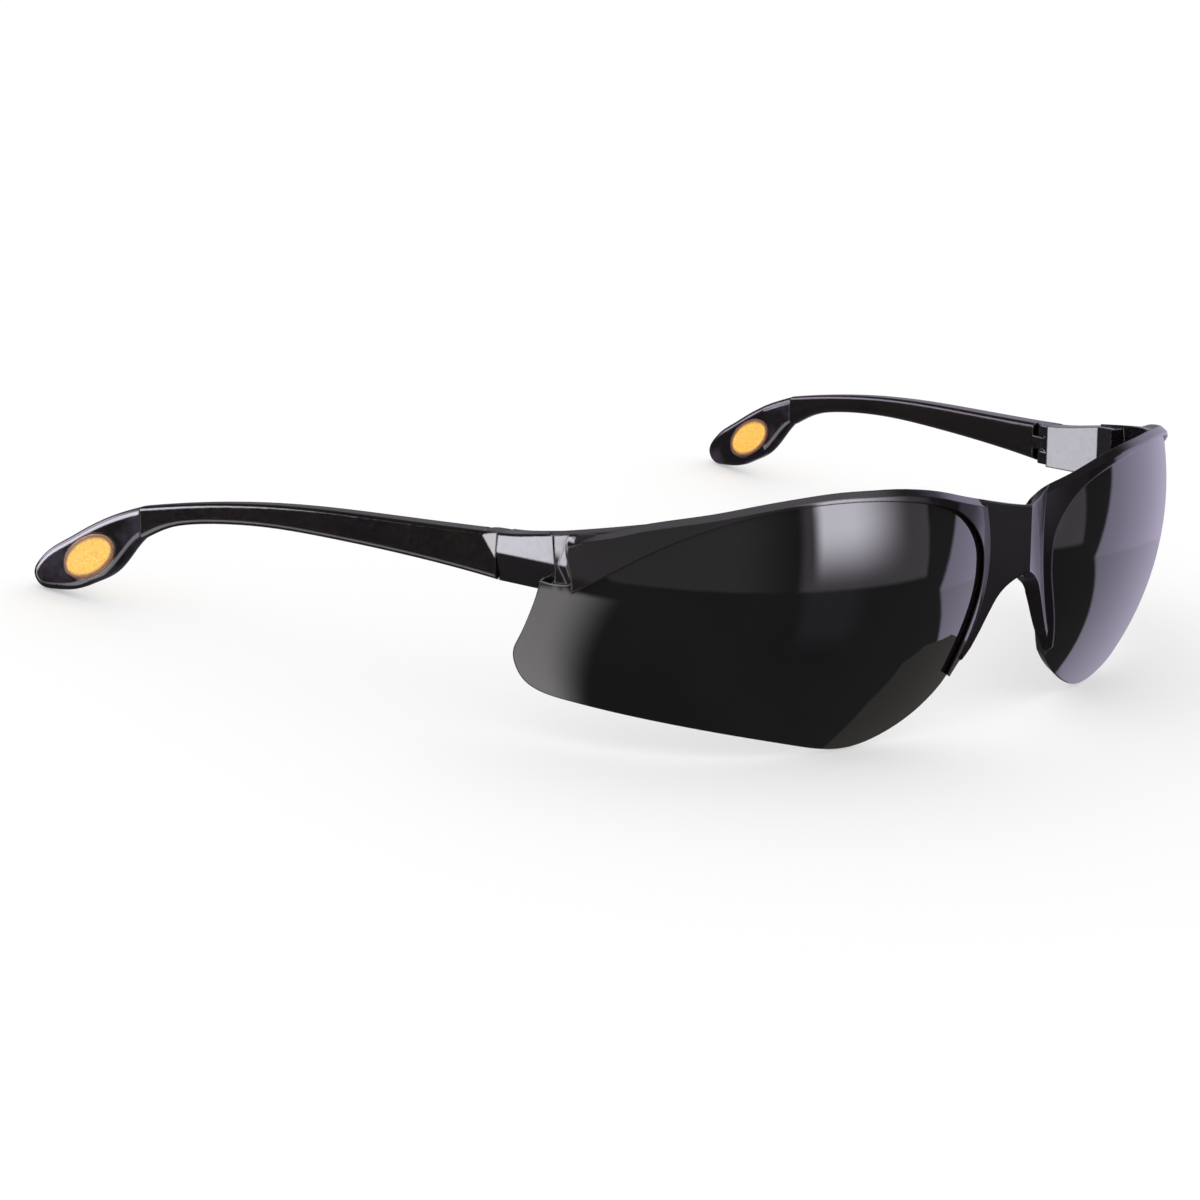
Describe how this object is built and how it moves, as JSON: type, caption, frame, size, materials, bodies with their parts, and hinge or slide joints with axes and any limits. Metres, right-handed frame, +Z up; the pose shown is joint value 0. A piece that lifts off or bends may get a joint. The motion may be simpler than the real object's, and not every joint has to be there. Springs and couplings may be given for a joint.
{
  "type": "safety glasses",
  "caption": "Half-rim wraparound safety glasses with dark curved lenses, a moulded brow and bridge, folding temples and paddle tips with an orange oval insert.",
  "frame": {"origin": "middle of the bounding box in plan, at the level of the table the open glasses stand on", "axes": "+X toward the wearer's left, the front faces -Y and the temples run back toward +Y, +Z up from the table"},
  "size_m": [0.1754, 0.1518, 0.0442],
  "materials": {
    "frame": "gloss smoke-black polycarbonate",
    "lens": "dark smoke polycarbonate, polished both sides",
    "temple": "gloss smoke-black polycarbonate",
    "tip": "gloss smoke-grey plastic",
    "insert": "satin orange-yellow plastic",
    "screw": "plain steel"
  },
  "bodies": {
    "front": {"front_frame": "frame", "left_lens": "lens", "right_lens": "lens", "left_hinge_screw": "screw", "right_hinge_screw": "screw"},
    "left_arm": {"left_temple": "temple", "left_temple_tip": "tip", "left_tip_insert": "insert"},
    "right_arm": {"right_temple": "temple", "right_temple_tip": "tip", "right_tip_insert": "insert"}
  },
  "joints": [
    {"name": "left_hinge", "type": "hinge", "parent": "front", "child": "left_arm", "pos_m": [0.06956, -0.02378, 0.02851], "axis": [0, 0.0854, 0.9963], "range_deg": [0, 97]},
    {"name": "right_hinge", "type": "hinge", "parent": "front", "child": "right_arm", "pos_m": [-0.06956, -0.02378, 0.02851], "axis": [0, -0.0854, -0.9963], "range_deg": [0, 92]}
  ]
}
